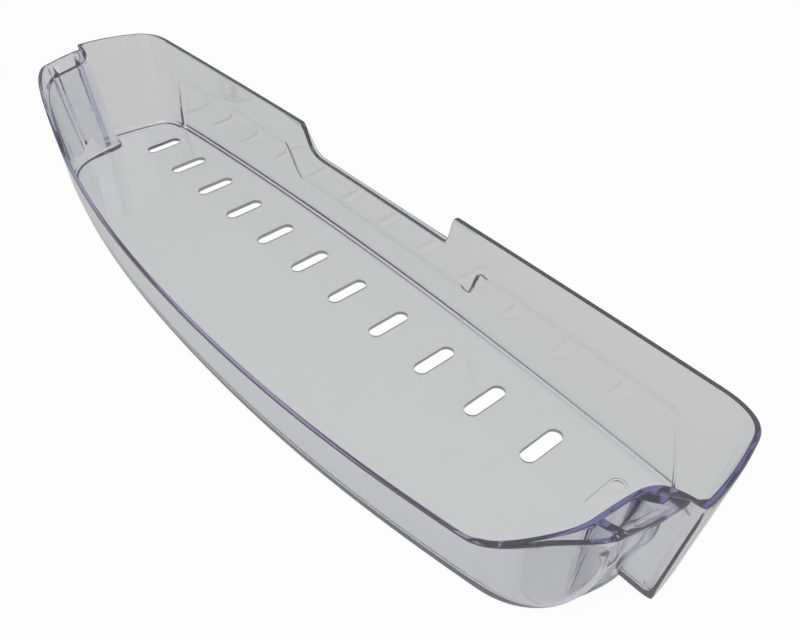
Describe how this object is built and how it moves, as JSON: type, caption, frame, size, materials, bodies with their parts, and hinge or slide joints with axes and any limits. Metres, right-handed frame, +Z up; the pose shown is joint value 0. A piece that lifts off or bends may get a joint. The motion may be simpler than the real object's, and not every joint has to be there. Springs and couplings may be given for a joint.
{
  "type": "refrigerator door shelf",
  "caption": "Clear moulded door shelf: a long tray with a bowed front, drain slots in the floor, a cut-out back wall and double-walled hooked ends.",
  "frame": {"origin": "centre of the bounding box's underside, on the flat underside of the floor", "axes": "+X along the shelf toward its right end as seen from the front, +Y from the bowed front wall toward the back wall, +Z up"},
  "size_m": [0.4516, 0.1127, 0.062],
  "materials": {
    "clear_plastic": "gloss"
  },
  "bodies": {
    "root": {"door_shelf": "clear_plastic"}
  },
  "joints": []
}
